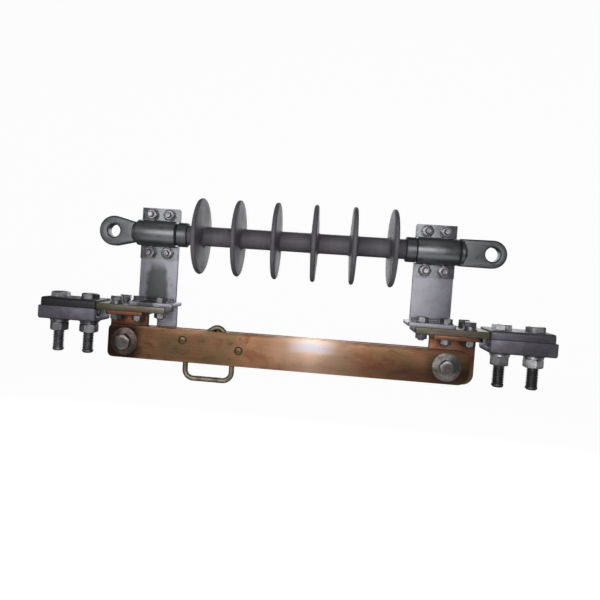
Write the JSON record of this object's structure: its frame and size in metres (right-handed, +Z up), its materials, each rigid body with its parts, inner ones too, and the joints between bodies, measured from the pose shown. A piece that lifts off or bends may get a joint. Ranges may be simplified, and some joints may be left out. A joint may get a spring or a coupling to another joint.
{
  "type": "in-line disconnect switch",
  "caption": "In-line hook-stick disconnect switch: a shedded polymer insulator with two pulling eyes carries a hinged twin copper blade and a conductor clamp at each end.",
  "frame": {"origin": "centre of the left pulling eye's pin hole, on the insulator's axis", "axes": "+X along the insulator towards the hinge end, +Z up, +Y towards the hanger plates, along the eyes' pin holes"},
  "size_m": [0.635, 0.096, 0.2331],
  "materials": {
    "insulator_rubber": "matte grey silicone rubber",
    "galvanised_fitting": "dull hot-dip galvanised forging",
    "galvanised_plate": "satin galvanised plate",
    "bolt_steel": "weathered zinc-plated",
    "tinned_copper_bar": "dull tinned copper",
    "contact_copper": "tarnished copper",
    "clamp_metal": "dark galvanised casting",
    "blade_copper": "tarnished copper, brighter where rubbed",
    "ring_brass": "dull brass wire"
  },
  "bodies": {
    "frame": {"insulator_housing": "insulator_rubber", "end_fitting_left": "galvanised_fitting", "end_fitting_right": "galvanised_fitting", "hanger_left": "galvanised_plate", "hanger_right": "galvanised_plate", "blade_guide": "galvanised_plate", "strap_left": "galvanised_fitting", "strap_right": "galvanised_fitting", "strap_bolts_left": "bolt_steel", "strap_bolts_right": "bolt_steel", "strap_nuts_left": "bolt_steel", "strap_nuts_right": "bolt_steel", "terminal_bar_left": "tinned_copper_bar", "terminal_bar_right": "tinned_copper_bar", "jaw_contact": "contact_copper", "hinge_contact": "contact_copper", "contact_bolts_left": "bolt_steel", "contact_bolts_right": "bolt_steel", "contact_nuts_left": "bolt_steel", "contact_nuts_right": "bolt_steel", "clamp_shell_left": "clamp_metal", "clamp_shell_right": "clamp_metal", "clamp_keeper_left": "clamp_metal", "clamp_keeper_right": "clamp_metal", "clamp_bolts_left": "bolt_steel", "clamp_bolts_right": "bolt_steel", "clamp_washers_left": "bolt_steel", "clamp_washers_right": "bolt_steel", "clamp_nuts_left": "bolt_steel", "clamp_nuts_right": "bolt_steel"},
    "blade": {"blade_front": "blade_copper", "blade_rear": "blade_copper", "jaw_bolt": "bolt_steel", "jaw_spring_washers": "bolt_steel", "jaw_nut": "bolt_steel", "hinge_bolt": "bolt_steel", "hinge_spring_washers": "bolt_steel", "hinge_nut": "bolt_steel", "blade_spacers": "ring_brass", "blade_rivets": "blade_copper", "pull_ring": "ring_brass"}
  },
  "joints": [
    {"name": "blade_hinge", "type": "hinge", "parent": "frame", "child": "blade", "pos_m": [0.4264, 0, -0.14], "axis": [0, -1, 0], "range_deg": [0, 90]}
  ]
}
